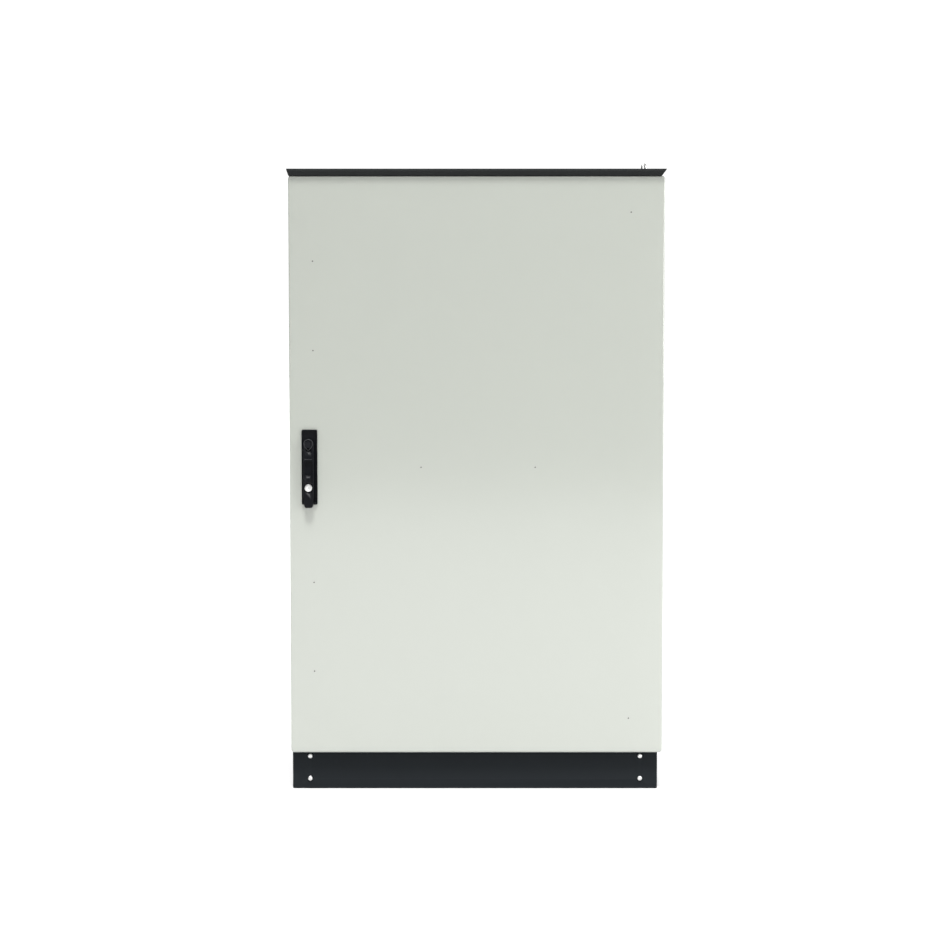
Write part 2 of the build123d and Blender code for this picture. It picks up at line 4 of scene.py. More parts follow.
import bmesh
import bpy
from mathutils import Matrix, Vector


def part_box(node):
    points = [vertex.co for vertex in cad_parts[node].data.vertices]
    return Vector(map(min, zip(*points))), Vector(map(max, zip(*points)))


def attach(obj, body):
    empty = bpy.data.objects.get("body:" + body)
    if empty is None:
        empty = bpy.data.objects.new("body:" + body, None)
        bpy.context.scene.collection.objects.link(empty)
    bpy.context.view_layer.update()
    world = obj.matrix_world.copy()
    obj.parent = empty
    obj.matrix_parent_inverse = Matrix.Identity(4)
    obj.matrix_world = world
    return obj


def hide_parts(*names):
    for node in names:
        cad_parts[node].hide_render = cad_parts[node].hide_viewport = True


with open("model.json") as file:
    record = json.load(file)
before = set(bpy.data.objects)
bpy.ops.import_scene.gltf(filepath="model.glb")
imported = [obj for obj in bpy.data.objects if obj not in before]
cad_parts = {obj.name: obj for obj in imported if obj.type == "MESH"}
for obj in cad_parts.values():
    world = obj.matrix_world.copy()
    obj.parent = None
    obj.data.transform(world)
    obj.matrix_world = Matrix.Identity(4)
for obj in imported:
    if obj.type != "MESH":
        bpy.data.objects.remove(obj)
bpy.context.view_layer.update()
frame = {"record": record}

# Looks of the battery cabinet: materials, detailed meshes where the plain parts need them, and a studio.
# Metres. Profiles and outlines are written in millimetres and scaled by MM.
MM = 0.001
SHEET = 2 * MM


# ---------------------------------------------------------------- reading the frame

def solid_boxes(node):
    """The box of each separate solid of a CAD node, from the lowest up, then from left to right."""
    bm = bmesh.new()
    bm.from_mesh(bpy.data.objects[node].data)
    bmesh.ops.remove_doubles(bm, verts=bm.verts, dist=0.01 * MM)
    unvisited = set(bm.verts)
    boxes = []
    while unvisited:
        solid = [unvisited.pop()]
        for vert in solid:
            neighbours = [edge.other_vert(vert) for edge in vert.link_edges]
            for neighbour in neighbours:
                if neighbour in unvisited:
                    unvisited.remove(neighbour)
                    solid.append(neighbour)
        low = [min(vert.co[k] for vert in solid) for k in range(3)]
        high = [max(vert.co[k] for vert in solid) for k in range(3)]
        boxes.append((low, high))
    bm.free()
    return sorted(boxes, key=lambda box: [round(box[0][k], 4) for k in (2, 0, 1)])


def middle(box):
    """The middle of a box given by its low and high corners."""
    low, high = box
    return [(a + b) / 2 for a, b in zip(low, high)]


def opening_box(name):
    """The low and high corners of an opening that the record states."""
    openings = frame["record"]["physics"]["openings"]
    return next(entry["box_m"] for entry in openings if entry["name"] == name)


# ---------------------------------------------------------------- mesh helpers

def link(name, mesh):
    """Put a mesh into the scene as a new object."""
    piece = bpy.data.objects.new(name, mesh)
    bpy.context.scene.collection.objects.link(piece)
    return piece


def from_bmesh(name, bm, smooth_angle=40):
    """Turn a bmesh into an object, smooth except across sharp edges."""
    bmesh.ops.recalc_face_normals(bm, faces=bm.faces)
    mesh = bpy.data.meshes.new(name)
    bm.to_mesh(mesh)
    bm.free()
    for face in mesh.polygons:
        face.use_smooth = True
    mesh.set_sharp_from_angle(angle=math.radians(smooth_angle))
    return link(name, mesh)


def rounded_rect(cx, cz, half_x, half_z, radius, steps=6):
    """Points of a rounded rectangle in the XZ plane, counter-clockwise from the right side."""
    points = []
    for quarter, (sx, sz) in enumerate(((1, 1), (-1, 1), (-1, -1), (1, -1))):
        for step in range(steps + 1):
            angle = math.radians(90 * (quarter + step / steps))
            x = cx + sx * (half_x - radius) + radius * math.cos(angle)
            z = cz + sz * (half_z - radius) + radius * math.sin(angle)
            points.append((x, z))
    return points


def add_loops(bm, loops, cap_first=True, cap_last=True):
    """Join closed loops of equal length into a skin."""
    rings = [[bm.verts.new(point) for point in loop] for loop in loops]
    count = len(rings[0])
    for near, far in zip(rings, rings[1:]):
        for i in range(count):
            j = (i + 1) % count
            bm.faces.new((near[i], near[j], far[j], far[i]))
    if cap_first:
        bm.faces.new(rings[0])
    if cap_last:
        bm.faces.new(list(reversed(rings[-1])))


def add_pad(bm, low, high, corner, edge, axis="Y", steps=5):
    """A box with rounded corners seen along its axis, and rounded edges at both ends."""
    swap = {"X": (1, 2, 0), "Y": (0, 2, 1), "Z": (0, 1, 2)}[axis]
    u, v, w = swap
    centre = [(a + b) / 2 for a, b in zip(low, high)]
    half = [(b - a) / 2 for a, b in zip(low, high)]
    loops = []
    sections = []
    for step in range(steps + 1):
        angle = math.radians(90 * step / steps)
        sections.append((edge * (1 - math.sin(angle)), low[w] + edge * (1 - math.cos(angle))))
    sections += [(inset, low[w] + high[w] - level) for inset, level in reversed(sections)]
    for inset, level in sections:
        radius = max(corner - inset, 0.05 * MM)
        outline = rounded_rect(centre[u], centre[v], half[u] - inset, half[v] - inset, radius)
        loop = []
        for a, b in outline:
            point = [0, 0, 0]
            point[u] = a
            point[v] = b
            point[w] = level
            loop.append(tuple(point))
        loops.append(loop)
    add_loops(bm, loops)


def add_lathe(bm, profile, centre, axis="Y", sides=40):
    """Turn a profile of (radius, height) about an axis through centre. Heights run along the axis."""
    loops = []
    for radius, height in profile:
        loop = []
        for i in range(sides):
            angle = 2 * math.pi * i / sides
            a = radius * math.cos(angle)
            b = radius * math.sin(angle)
            offset = {"X": (height, a, b), "Y": (a, height, b), "Z": (a, b, height)}[axis]
            loop.append(tuple(c + o for c, o in zip(centre, offset)))
        loops.append(loop)
    add_loops(bm, loops)


def scaled(profile, sign=1):
    """A profile written in millimetres, in metres. A sign of -1 turns its heights round."""
    return [(radius * MM, sign * height * MM) for radius, height in profile]


def cut(piece, *cutters):
    """Take the cutters away from a piece and remove them."""
    for cutter in cutters:
        tool = piece.modifiers.new("cut", "BOOLEAN")
        tool.operation = "DIFFERENCE"
        tool.solver = "EXACT"
        tool.object = cutter
    depsgraph = bpy.context.evaluated_depsgraph_get()
    mesh = bpy.data.meshes.new_from_object(piece.evaluated_get(depsgraph))
    piece.modifiers.clear()
    piece.data = mesh
    for cutter in cutters:
        bpy.data.objects.remove(cutter)


def pad_piece(name, low, high, corner, edge, axis="Y"):
    bm = bmesh.new()
    add_pad(bm, low, high, corner, edge, axis)
    return from_bmesh(name, bm)


def dress(piece, material, body, slot, *nodes):
    """Give a new piece its material and its body, and hide the nodes it stands for. The slot argument is not
    used.
    """
    piece.data.materials.clear()
    piece.data.materials.append(material)
    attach(piece, body)
    if nodes:
        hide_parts(*nodes)


# ---------------------------------------------------------------- materials

COAT_ROUGHNESS = 0.14
COAT_IOR = 1.9
GRAIN_DEPTH = 0.1 * MM
# Pointiness is 0.5 on a flat face, and wear shows where it is higher, on outer edges.
WEAR_START = 0.53
WEAR_FULL = 0.62


def shader(name, colour, roughness, metallic=0.0, grain=400.0, bump=0.15, vary=0.06, blotch=4.0,
           stretch=(1, 1, 1), specular=0.5, coat=0.0, wear=0.0, wear_colour=(0.5, 0.5, 0.5)):
    """A surface with fine grain in its relief, slow drift in its colour, and uneven gloss."""
    material = bpy.data.materials.new(name)
    material.use_nodes = True
    nodes = material.node_tree.nodes
    links = material.node_tree.links
    surface = nodes["Principled BSDF"]
    surface.inputs["Metallic"].default_value = metallic
    surface.inputs["Coat Weight"].default_value = coat
    surface.inputs["Coat Roughness"].default_value = COAT_ROUGHNESS
    surface.inputs["Coat IOR"].default_value = COAT_IOR
    surface.inputs["Specular IOR Level"].default_value = specular

    place = nodes.new("ShaderNodeTexCoord")
    mapping = nodes.new("ShaderNodeMapping")
    mapping.inputs["Scale"].default_value = stretch
    links.new(place.outputs["Object"], mapping.inputs["Vector"])

    fine = nodes.new("ShaderNodeTexNoise")
    fine.inputs["Scale"].default_value = grain
    fine.inputs["Detail"].default_value = 3
    links.new(mapping.outputs["Vector"], fine.inputs["Vector"])
    slow = nodes.new("ShaderNodeTexNoise")
    slow.inputs["Scale"].default_value = blotch
    slow.inputs["Detail"].default_value = 5
    links.new(place.outputs["Object"], slow.inputs["Vector"])

    tint = nodes.new("ShaderNodeMix")
    tint.data_type = "RGBA"
    tint.inputs["A"].default_value = (*[c * (1 - vary) for c in colour], 1)
    tint.inputs["B"].default_value = (*[min(c * (1 + vary), 1) for c in colour], 1)
    links.new(slow.outputs["Fac"], tint.inputs["Factor"])
    last_colour = tint.outputs["Result"]
    if wear:
        edge = nodes.new("ShaderNodeNewGeometry")
        ramp = nodes.new("ShaderNodeMapRange")
        ramp.inputs["From Min"].default_value = WEAR_START
        ramp.inputs["From Max"].default_value = WEAR_FULL
        ramp.inputs["To Max"].default_value = wear
        links.new(edge.outputs["Pointiness"], ramp.inputs["Value"])
        rub = nodes.new("ShaderNodeMix")
        rub.data_type = "RGBA"
        rub.inputs["B"].default_value = (*wear_colour, 1)
        links.new(ramp.outputs["Result"], rub.inputs["Factor"])
        links.new(last_colour, rub.inputs["A"])
        last_colour = rub.outputs["Result"]
    links.new(last_colour, surface.inputs["Base Color"])

    gloss = nodes.new("ShaderNodeMapRange")
    gloss.inputs["To Min"].default_value = roughness * 0.85
    gloss.inputs["To Max"].default_value = min(roughness * 1.15, 1)
    links.new(fine.outputs["Fac"], gloss.inputs["Value"])
    links.new(gloss.outputs["Result"], surface.inputs["Roughness"])

    relief = nodes.new("ShaderNodeBump")
    relief.inputs["Strength"].default_value = bump
    relief.inputs["Distance"].default_value = GRAIN_DEPTH
    links.new(fine.outputs["Fac"], relief.inputs["Height"])
    links.new(relief.outputs["Normal"], surface.inputs["Normal"])
    return material


EDGE_WEAR = (0.05, 0.055, 0.06)
DOOR_GREY = (0.388, 0.407, 0.368)
NEAR_BLACK = (0.0056, 0.0074, 0.0089)
ROOF_BLACK = (0.0135, 0.0140, 0.0130)
looks = {
    "grey_powder": shader("grey_powder", DOOR_GREY, 0.42, grain=900, bump=0.12, vary=0.012, blotch=3,
                          coat=1.0),
    "dark_powder": shader("dark_powder", NEAR_BLACK, 0.6, grain=900, bump=0.25, vary=0.08, specular=0.03,
                          wear=0.25, wear_colour=EDGE_WEAR),
    "roof_powder": shader("roof_powder", ROOF_BLACK, 0.6, grain=900, bump=0.25, vary=0.08, specular=0.03,
                          wear=0.25, wear_colour=EDGE_WEAR),
    "zinc_steel": shader("zinc_steel", (0.56, 0.57, 0.57), 0.38, metallic=1, grain=60, bump=0.1, vary=0.12,
                         blotch=30),
    "bright_steel": shader("bright_steel", (0.86, 0.86, 0.85), 0.34, metallic=1, grain=500, bump=0.1,
                           vary=0.05, blotch=60),
    "black_plastic": shader("black_plastic", (0.0045, 0.005, 0.0066), 0.38, grain=1500, bump=0.3, vary=0.1,
                            specular=0.1, wear=0.15, wear_colour=(0.04, 0.04, 0.045)),
    "battery_lid": shader("battery_lid", (0.045, 0.05, 0.056), 0.5, grain=1200, bump=0.35, vary=0.1),
    "grey_plastic": shader("grey_plastic", (0.44, 0.45, 0.44), 0.45, grain=1200, bump=0.25, vary=0.05),
    "insulator_red": shader("insulator_red", (0.36, 0.035, 0.025), 0.35, grain=500, bump=0.2, vary=0.1),
    "foam_rubber": shader("foam_rubber", (0.016, 0.016, 0.017), 0.85, grain=700, bump=0.8, vary=0.2),
    "copper": shader("copper", (0.72, 0.36, 0.22), 0.3, metallic=1, grain=120, bump=0.15, vary=0.15,
                     blotch=40, stretch=(0.2, 1, 1)),
    "lead": shader("lead", (0.32, 0.33, 0.35), 0.5, metallic=1, grain=300, bump=0.4, vary=0.12, blotch=50),
    "zinc_dark": shader("zinc_dark", (0.10, 0.10, 0.10), 0.6, metallic=0.5, grain=800, bump=0.2),
    "black_edge": shader("black_edge", (0.030, 0.031, 0.034), 0.35, grain=1500, bump=0.2, specular=0.3),
}

BEVELLED = {
    "plinth_front", "plinth_rear", "plinth_side_left", "plinth_side_right", "plinth_corners",
    "front_stiles", "front_rails", "rain_roof", "side_vents", "mounting_plate", "din_rail",
    "door_stiffeners", "door_crossbar", "gasket_channels", "shelf_rails", "battery_shelves", "rod_guides",
    "lock_case", "lock_rod_upper", "lock_rod_lower", "breaker_case", "document_pocket", "busbars",
    "fuse_bases", "fuse_cartridges", "earth_bar", "battery_links", "gland_plate",
}
BEVEL = 0.6 * MM


def finish_cad_nodes():
    """Give every CAD node its material, and soften the edges of the folded and moulded ones."""
    slots = {entry["node"]: entry["material_slot"] for entry in frame["record"]["subparts"]}
    for node, slot in slots.items():
        piece = bpy.data.objects[node]
        piece.data.materials.clear()
        piece.data.materials.append(looks[slot])
        if node in BEVELLED:
            soften = piece.modifiers.new("soften", "BEVEL")
            soften.width = BEVEL
            soften.segments = 3
            soften.limit_method = "ANGLE"
            soften.angle_limit = math.radians(50)
            soften.harden_normals = True


# ---------------------------------------------------------------- door

CROWN = 1.8 * MM
CROWN_POWER = 1.2
CROWN_X = 58 * MM
CROWN_Z = 165 * MM
DOOR_CORNER = 8 * MM
EDGE_RADIUS = 4.2 * MM
CROWN_STEPS = 10
EDGE_STEPS = 6


def door_skin():
    """The folded door pan. Its face falls back slightly towards its edges, with hips at the corners."""
    low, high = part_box("door_skin")
    front, back = low[1], high[1]
    cx = (low[0] + high[0]) / 2
    cz = (low[2] + high[2]) / 2
    half_x = (high[0] - low[0]) / 2
    half_z = (high[2] - low[2]) / 2

    def loop(inset_x, inset_z, y, radius):
        outline = rounded_rect(cx, cz, half_x - inset_x, half_z - inset_z, radius, steps=8)
        return [(x, y, z) for x, z in outline]

    loops = []
    for step in range(CROWN_STEPS + 1):
        share = 1 - step / CROWN_STEPS
        loops.append(loop(EDGE_RADIUS + share * CROWN_X, EDGE_RADIUS + share * CROWN_Z,
                          front + CROWN * (1 - share) ** CROWN_POWER, DOOR_CORNER - EDGE_RADIUS))
    for step in range(1, EDGE_STEPS + 1):
        angle = math.radians(90 * step / EDGE_STEPS)
        inset = EDGE_RADIUS * (1 - math.sin(angle))
        depth = CROWN + EDGE_RADIUS * (1 - math.cos(angle))
        loops.append(loop(inset, inset, front + depth, DOOR_CORNER - inset))
    loops.append(loop(0, 0, back, DOOR_CORNER))
    loops.append(loop(SHEET, SHEET, back, DOOR_CORNER - SHEET))
    loops.append(loop(SHEET, SHEET, front + CROWN + SHEET, DOOR_CORNER - SHEET))
    bm = bmesh.new()
    add_loops(bm, loops)
    dress(from_bmesh("door_skin_folded", bm, 60), looks["grey_powder"], "door", "grey_powder", "door_skin")


def crown_depth(x, z):
    """How far the door's face lies behind its middle at a point."""
    low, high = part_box("door_skin")
    inset_x = min(x - low[0], high[0] - x) - EDGE_RADIUS
    inset_z = min(z - low[2], high[2] - z) - EDGE_RADIUS
    share = min(inset_x / CROWN_X, inset_z / CROWN_Z, 1)
    return CROWN * (1 - share) ** CROWN_POWER


def door_marks():
    """The rivet heads that hold the rod guides, the crossbar and the earth studs: small, low and dark."""
    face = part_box("door_skin")[0][1]
    profile = [(0.2, -0.15), (0.8, -0.15), (1.0, -0.45), (1.4, -0.4), (1.9, -0.15), (1.9, 1.8), (0.2, 1.8)]
    bm = bmesh.new()
    for rivet in solid_boxes("door_rivets"):
        x, _, z = middle(rivet)
        add_lathe(bm, scaled(profile), (x, face + crown_depth(x, z), z), sides=24)
    dress(from_bmesh("door_rivet_heads", bm), looks["zinc_dark"], "door", "zinc_steel", "door_rivets")


# ---------------------------------------------------------------- handle

RIM = 2.2 * MM
DISH_DEPTH = 4.6 * MM
LEVER_EDGE = 2.5 * MM
LEVER_EDGE_STEPS = 4
FINGER_HALF_WIDTH = 11.5 * MM
FINGER_DEPTH = 7 * MM
# The record's opening stays this far inside the recess's ends.
FINGER_MARGIN = 2 * MM
PLUG_BORE_R = 10.15 * MM
PLUG_WELL_R = 12.4 * MM
PLUG_WELL_DEPTH = 2.2 * MM
HUB_STEP = 1.2 * MM
KEY_HALF_WIDTH = 0.9 * MM
KEY_HALF_HEIGHT = 4 * MM
KEY_DEPTH = 4 * MM
# How far a cutter reaches past the face that it opens.
PAST = 10 * MM


def handle_base():
    """The handle's base: a shallow dish with a rounded rim."""
    low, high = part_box("handle_base")
    base = pad_piece("handle_base_moulded", low, high, 4 * MM, 1.2 * MM)
    dish = pad_piece("dish", (low[0] + RIM, low[1] - PAST, low[2] + 2 * RIM),
                     (high[0] - RIM, low[1] + DISH_DEPTH, high[2] - RIM), 3.5 * MM, 2.5 * MM)
    cut(base, dish)
    dress(base, looks["black_plastic"], "door", "black_plastic", "handle_base")


def handle_lever():
    """The lever: rounded bar with a hub slot, a finger recess, a lock bore and a tapered tail."""
    low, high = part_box("handle_lever")
    cx = (low[0] + high[0]) / 2
    front, back = low[1], high[1]
    tip, top = low[2], high[2]
    tail = [(0, 7.5), (1.2, 9.6), (4, 11.2), (9, 12.2), (36, 14.0)]
    head = [(5, 14.0), (1.5, 13.2), (0, 11.5)]
    shapes = [(tip + rise * MM, half_width) for rise, half_width in tail]
    shapes += [(top - drop * MM, half_width) for drop, half_width in head]
    outline = [(cx + w * MM, z) for z, w in shapes] + [(cx - w * MM, z) for z, w in reversed(shapes)]
    half_x = (high[0] - low[0]) / 2
    half_z = (top - tip) / 2
    mid_z = (tip + top) / 2
    loops = []
    for step in range(LEVER_EDGE_STEPS + 1):
        angle = math.radians(90 * step / LEVER_EDGE_STEPS)
        inset = LEVER_EDGE * (1 - math.sin(angle))
        y = front + LEVER_EDGE * (1 - math.cos(angle))
        scale_x = (half_x - inset) / half_x
        scale_z = (half_z - inset) / half_z
        loops.append([(cx + (x - cx) * scale_x, y, mid_z + (z - mid_z) * scale_z) for x, z in outline])
    loops.append([(x, back, z) for x, z in outline])
    bm = bmesh.new()
    add_loops(bm, loops)
    lever = from_bmesh("handle_lever_moulded", bm, 35)

    plug_z = middle(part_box("lock_plug"))[2]
    reach = 2 * PAST
    bm = bmesh.new()
    add_lathe(bm, [(PLUG_BORE_R, -reach), (PLUG_BORE_R, reach)], (cx, (front + back) / 2, plug_z))
    plug_hole = from_bmesh("plug_hole", bm)
    bm = bmesh.new()
    add_lathe(bm, [(PLUG_WELL_R, -reach), (PLUG_WELL_R, 0)], (cx, front + PLUG_WELL_DEPTH, plug_z))
    plug_well = from_bmesh("plug_well", bm)
    opening_low, opening_high = opening_box("lever_finger_recess")
    finger_top = opening_high[2] + FINGER_MARGIN
    finger = pad_piece("finger", (cx - FINGER_HALF_WIDTH, front - PAST, opening_low[2] - FINGER_MARGIN),
                       (cx + FINGER_HALF_WIDTH, front + FINGER_DEPTH, finger_top), 7.5 * MM, 2 * MM)
    hub_low, hub_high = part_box("handle_spindle")
    slot = pad_piece("slot", (hub_low[0] - 0.3 * MM, front - PAST, hub_low[2] - 9 * MM),
                     (hub_high[0] + 0.3 * MM, back + PAST, top + PAST), 1 * MM, 0.2 * MM)
    step_cut = pad_piece("step", (cx - 12 * MM, front - PAST, finger_top + 4 * MM),
                         (cx + 12 * MM, front + HUB_STEP, top + PAST), 2 * MM, 0.4 * MM)
    cut(lever, plug_hole, plug_well, finger, slot, step_cut)
    dress(lever, looks["black_plastic"], "lever", "black_plastic", "handle_lever")


def shield_ring():
    """A thin shield-shaped ring round the hub, on the lever's face."""
    low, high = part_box("handle_lever")
    hub_low, hub_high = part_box("handle_spindle")
    cx = (low[0] + high[0]) / 2
    cz = (hub_low[2] + hub_high[2]) / 2
    # Right-hand half of the shield, from its point up, and the section of the ring as scale and depth.
    side = [(0, -17), (4, -13.5), (9, -8), (11.8, -2), (12.6, 4), (11, 9.5), (7, 13), (0, 14.5)]
    shield = side + [(-x, z) for x, z in reversed(side[1:-1])]
    section = ((1.0, 2.4), (1.0, -0.2), (0.97, -0.6), (0.90, -0.6), (0.87, -0.2), (0.87, 2.4))
    loops = []
    for scale, depth in section:
        loops.append([(cx + x * scale * MM, low[1] + depth * MM, cz + z * scale * MM) for x, z in shield])
    bm = bmesh.new()
    add_loops(bm, loops + loops[:1], cap_first=False, cap_last=False)
    bmesh.ops.remove_doubles(bm, verts=bm.verts, dist=0.01 * MM)
    ring = from_bmesh("handle_shield_ring", bm)
    dress(ring, looks["black_edge"], "lever", "black_plastic")


def lock_plug():
    """The bright lock plug: a turned face with a bevelled rim and a key slot."""
    low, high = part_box("lock_plug")
    cx = (low[0] + high[0]) / 2
    cz = (low[2] + high[2]) / 2
    depth = high[1] - low[1]
    radius = (high[0] - low[0]) / 2
    profile = [(0.2, 0.8), (5.4, 0.8), (5.8, 0.0), (8.8, 0.0), (9.6, 0.3), (10.0, 1.0)]
    profile = scaled(profile) + [(radius, depth), (0.2 * MM, depth)]
    bm = bmesh.new()
    add_lathe(bm, profile, (cx, low[1], cz), sides=48)
    plug = from_bmesh("lock_plug_turned", bm, 30)
    slot = pad_piece("key_slot", (cx - KEY_HALF_WIDTH, low[1] - PAST, cz - KEY_HALF_HEIGHT),
                     (cx + KEY_HALF_WIDTH, low[1] + KEY_DEPTH, cz + KEY_HALF_HEIGHT), 0.6 * MM, 0.1 * MM)
    cut(plug, slot)
    dress(plug, looks["bright_steel"], "plug", "bright_steel", "lock_plug")


# ---------------------------------------------------------------- roof

LIP_HEIGHT = 7 * MM
LIP_ROUND = 0.8 * MM
ROOF_WALL = 10 * MM
# How far the roof's underside lies inside its top edge.
FRONT_RUN = 8 * MM
BACK_RUN = 3.5 * MM
# How far the underside reaches past the body on the left and on the right.
LEFT_REACH = 1 * MM
RIGHT_REACH = 2 * MM


def roof():
    """The rain roof: a flat top, a short upright lip in front, and sides that slant in under it."""
    low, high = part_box("rain_roof")
    body_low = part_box("side_panel_left")[0]
    body_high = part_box("side_panel_right")[1]
    left_run = body_low[0] - LEFT_REACH - low[0]
    right_run = high[0] - (body_high[0] + RIGHT_REACH)

    def section(z, slant, rounding, nose):
        x0 = low[0] + slant * left_run + rounding
        x1 = high[0] - slant * right_run - rounding
        y0 = low[1] + nose
        y1 = high[1] - slant * BACK_RUN - rounding
        return [(x0, y0, z), (x1, y0, z), (x1, y1, z), (x0, y1, z)]

    def hollow(z):
        x0 = low[0] + left_run + ROOF_WALL
        x1 = high[0] - right_run - ROOF_WALL
        y0 = body_low[1] + ROOF_WALL
        y1 = body_high[1] - ROOF_WALL
        return [(x0, y0, z), (x1, y0, z), (x1, y1, z), (x0, y1, z)]

    top = high[2]
    loops = [
        section(top, 0, LIP_ROUND, LIP_ROUND),
        section(top - 0.3 * LIP_ROUND, 0, 0.3 * LIP_ROUND, 0.3 * LIP_ROUND),
        section(top - LIP_ROUND, 0, 0, 0),
        section(top - LIP_HEIGHT + LIP_ROUND, 0.3, 0, 0),
        section(top - LIP_HEIGHT, 0.36, 0, 0.4 * LIP_ROUND),
        section(low[2], 1, 0, FRONT_RUN),
        hollow(low[2]),
        hollow(top - SHEET),
    ]
    bm = bmesh.new()
    add_loops(bm, loops)
    dress(from_bmesh("rain_roof_folded", bm, 25), looks["roof_powder"], "cabinet", "dark_powder", "rain_roof")


# ---------------------------------------------------------------- plinth bolts

BOLT_HEAD_R = 6.5 * MM


def plinth_bolts():
    """Button-head bolts with sockets, in the front and rear of the plinth."""
    low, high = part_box("plinth_bolts")
    xs = (low[0] + BOLT_HEAD_R, high[0] - BOLT_HEAD_R)
    zs = (low[2] + BOLT_HEAD_R, high[2] - BOLT_HEAD_R)
    profile = [(0.2, 2.2), (2.6, 2.2), (2.8, 0.1), (3.4, 0.0), (5.0, 0.6), (6.0, 1.8), (6.5, 3.2),
               (6.5, 4.0), (4.0, 4.1), (4.0, 15.0), (0.2, 15.0)]
    bm = bmesh.new()
    for sign, face in ((1, low[1]), (-1, high[1])):
        for x in xs:
            for z in zs:
                add_lathe(bm, scaled(profile, sign), (x, face, z), sides=36)
    dress(from_bmesh("plinth_bolts_turned", bm, 30), looks["bright_steel"], "cabinet", "bright_steel",
          "plinth_bolts")


# ---------------------------------------------------------------- batteries

BLOCK_COLUMNS = 4
BLOCK_WIDTH = 172 * MM
BLOCK_PITCH = 230 * MM
BLOCK_CORNER = 6 * MM
TERMINAL_X = 60 * MM
SHELF_TOPS = (173 * MM, 563 * MM, 953 * MM)
RIBS = 6
RIB_DEPTH = 1.5 * MM
RIB_HEIGHT = 6 * MM
FIRST_RIB_MM = 12
RIB_PITCH_MM = 36
CAPS = 6
CAPS_IN_ROW = 3
CAP_PITCH_X = 36 * MM
CAP_PITCH_Y = 60 * MM
FIRST_CAP_Y = 10 * MM


def ribbed_case(bm, low, high):
    """A battery case with bands round it."""
    add_pad(bm, (low[0] + RIB_DEPTH, low[1] + RIB_DEPTH, low[2]),
            (high[0] - RIB_DEPTH, high[1] - RIB_DEPTH, high[2]), BLOCK_CORNER, 1.5 * MM, "Z")
    for k in range(RIBS):
        z = low[2] + (FIRST_RIB_MM + RIB_PITCH_MM * k) * MM
        add_pad(bm, (low[0], low[1], z), (high[0], high[1], z + RIB_HEIGHT), BLOCK_CORNER, 1.2 * MM, "Z")


def lid_with_caps(bm, low, high, cx):
    """A battery lid with two rows of vent caps."""
    profile = [(0.2, 0), (9, 0), (9, 3), (8, 4), (2, 4.2), (0.2, 3.2)]
    add_pad(bm, low, high, BLOCK_CORNER, 1.8 * MM, "Z")
    for k in range(CAPS):
        cap_x = cx + (k % CAPS_IN_ROW - 1) * CAP_PITCH_X
        cap_y = (low[1] + high[1]) / 2 + (k // CAPS_IN_ROW) * CAP_PITCH_Y + FIRST_CAP_Y
        add_lathe(bm, scaled(profile), (cap_x, cap_y, high[2]), "Z", 24)


def batteries():
    """Ribbed cases, lids with vent caps, and bolted terminals."""
    low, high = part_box("battery_cases")
    case_high = high[2] - SHELF_TOPS[-1]
    lid_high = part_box("battery_lids")[1][2] - high[2]
    terminal_y = (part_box("battery_terminals")[0][1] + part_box("battery_terminals")[1][1]) / 2
    post = [(0.2, 0), (9, 0), (9, 1.5), (8, 2.2), (8, 11), (7.2, 12), (0.2, 12)]
    bolt = [(0.2, 15), (8.5, 15), (8.5, 16.5), (6.5, 16.6), (6.5, 22), (5.8, 22.8), (0.2, 22.8)]
    cases = bmesh.new()
    lids = bmesh.new()
    terminals = bmesh.new()
    bolts = bmesh.new()
    for floor in SHELF_TOPS:
        top = floor + case_high
        for column in range(BLOCK_COLUMNS):
            cx = (column - (BLOCK_COLUMNS - 1) / 2) * BLOCK_PITCH
            x0 = cx - BLOCK_WIDTH / 2
            x1 = cx + BLOCK_WIDTH / 2
            ribbed_case(cases, (x0, low[1], floor), (x1, high[1], top))
            lid_with_caps(lids, (x0, low[1], top), (x1, high[1], top + lid_high), cx)
            for side in (-1, 1):
                spot = (cx + side * TERMINAL_X, terminal_y, top + lid_high)
                add_lathe(terminals, scaled(post), spot, "Z", 28)
                add_lathe(bolts, scaled(bolt), spot, "Z", 6)
    dress(from_bmesh("battery_cases_ribbed", cases), looks["black_plastic"], "cabinet", "black_plastic",
          "battery_cases")
    dress(from_bmesh("battery_lids_moulded", lids), looks["battery_lid"], "cabinet", "battery_lid",
          "battery_lids")
    dress(from_bmesh("battery_terminals_turned", terminals), looks["lead"], "cabinet", "lead",
          "battery_terminals")
    dress(from_bmesh("terminal_bolts", bolts), looks["bright_steel"], "cabinet", "bright_steel")


# ---------------------------------------------------------------- studio

CAMERA_DISTANCE = 5.0
CAMERA_HEIGHT = 1.157
CAMERA_PITCH = 3.37
CAMERA_LENS = 69.74
FLOOR_REACH = 11.5
FLOOR_GLOW = 0.2
OVERHEAD_STRENGTH = 3.6
OVERHEAD_ELEVATION = 68


def soft_light(name, place, target, size, power):
    """A round soft light at a place, facing a target."""
    light = bpy.data.objects.new(name, bpy.data.lights.new(name, "AREA"))
    light.data.shape = "DISK"
    light.data.size = size
    light.data.energy = power
    light.location = place
    light.rotation_euler = (Vector(target) - light.location).to_track_quat("-Z", "Y").to_euler()
    bpy.context.scene.collection.objects.link(light)


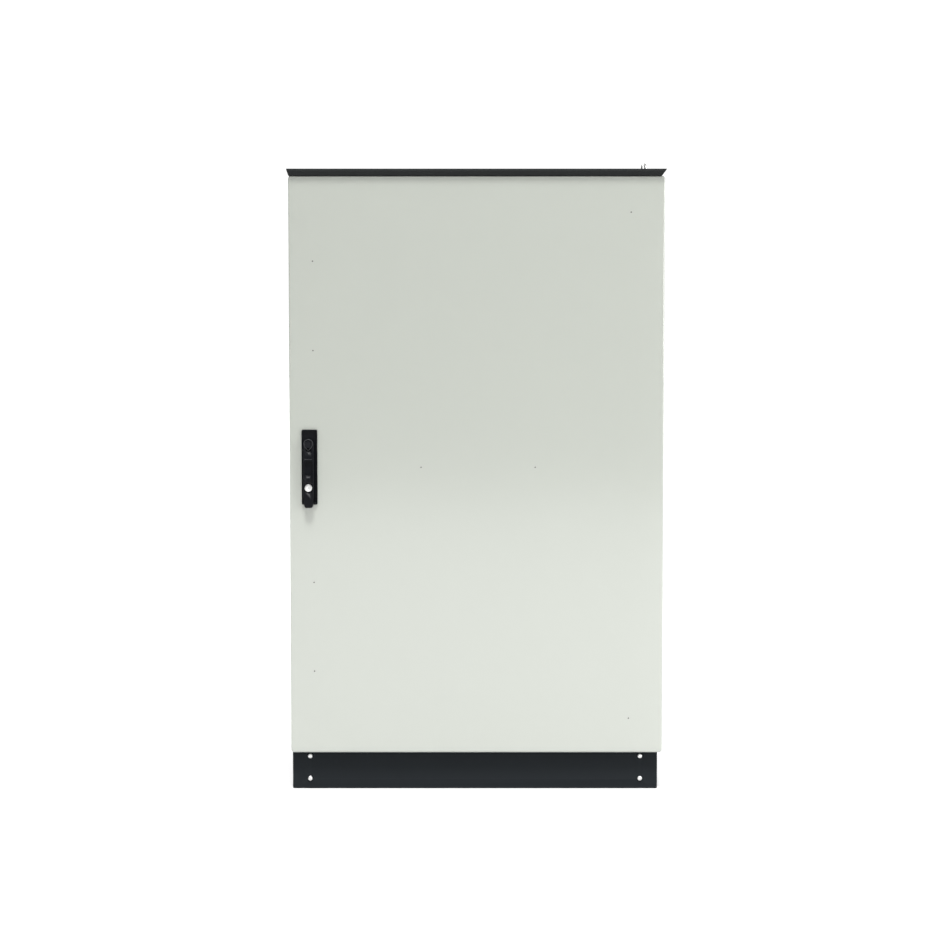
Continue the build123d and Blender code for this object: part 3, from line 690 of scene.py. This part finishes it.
def studio():
    """A pale floor, a soft sky that is darker low down behind the camera and far to the left, a sun and a
    key light. To the camera itself the sky is plain white."""
    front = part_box("plinth_front")[0][1]
    camera = bpy.data.objects.new("camera", bpy.data.cameras.new("camera"))
    camera.data.lens = CAMERA_LENS
    camera.data.sensor_width = 36
    camera.location = (0, front - CAMERA_DISTANCE, CAMERA_HEIGHT)
    camera.rotation_euler = (math.radians(90 - CAMERA_PITCH), 0, 0)
    bpy.context.scene.collection.objects.link(camera)
    bpy.context.scene.camera = camera

    bm = bmesh.new()
    corners = ((-90, -FLOOR_REACH), (90, -FLOOR_REACH), (90, 200), (-90, 200))
    bm.faces.new([bm.verts.new((x, y, 0)) for x, y in corners])
    floor = from_bmesh("floor", bm)
    pale = shader("floor", (0.56, 0.56, 0.56), 0.9, grain=50, bump=0.02, vary=0.005)
    lit = pale.node_tree.nodes["Principled BSDF"]
    lit.inputs["Emission Color"].default_value = (1, 1, 1, 1)
    lit.inputs["Emission Strength"].default_value = FLOOR_GLOW
    floor.data.materials.append(pale)

    world = bpy.data.worlds.new("studio")
    bpy.context.scene.world = world
    world.use_nodes = True
    nodes = world.node_tree.nodes
    links = world.node_tree.links
    background = nodes["Background"]
    place = nodes.new("ShaderNodeTexCoord")
    split = nodes.new("ShaderNodeSeparateXYZ")
    links.new(place.outputs["Generated"], split.inputs["Vector"])

    def fade(output, start, end, low, high):
        node = nodes.new("ShaderNodeMapRange")
        node.interpolation_type = "SMOOTHSTEP"
        node.inputs["From Min"].default_value = start
        node.inputs["From Max"].default_value = end
        node.inputs["To Min"].default_value = low
        node.inputs["To Max"].default_value = high
        links.new(split.outputs[output], node.inputs["Value"])
        return node.outputs["Result"]

    def times(a, b):
        node = nodes.new("ShaderNodeMath")
        node.operation = "MULTIPLY"
        links.new(a, node.inputs[0])
        links.new(b, node.inputs[1])
        return node.outputs["Value"]

    def larger(a, b):
        node = nodes.new("ShaderNodeMath")
        node.operation = "MAXIMUM"
        links.new(a, node.inputs[0])
        links.new(b, node.inputs[1])
        return node.outputs["Value"]

    left = fade("X", -0.98, -0.5, 0.0, 1.0)
    overhead = fade("Z", 0.15, 0.8, 0.25, 1.35)
    far_side = fade("Y", -0.2, 0.25, 0.0, 1.1)
    sight = nodes.new("ShaderNodeLightPath")
    seen = nodes.new("ShaderNodeMix")
    seen.data_type = "RGBA"
    seen.inputs["B"].default_value = (1.1, 1.1, 1.1, 1)
    links.new(sight.outputs["Is Camera Ray"], seen.inputs["Factor"])
    links.new(times(left, larger(overhead, far_side)), seen.inputs["A"])
    links.new(seen.outputs["Result"], background.inputs["Color"])
    background.inputs["Strength"].default_value = 1.0

    soft_light("key", (4.5, -3.5, 2.0), (0, 0, 0.8), 2.5, 110)
    overhead = bpy.data.objects.new("overhead", bpy.data.lights.new("overhead", "SUN"))
    overhead.data.energy = OVERHEAD_STRENGTH
    overhead.data.angle = math.radians(14)
    overhead.rotation_euler = (math.radians(90 - OVERHEAD_ELEVATION), 0, 0)
    bpy.context.scene.collection.objects.link(overhead)
    bpy.context.scene.view_settings.view_transform = "Standard"


studio()
finish_cad_nodes()
door_skin()
door_marks()
handle_base()
handle_lever()
shield_ring()
lock_plug()
roof()
plinth_bolts()
batteries()
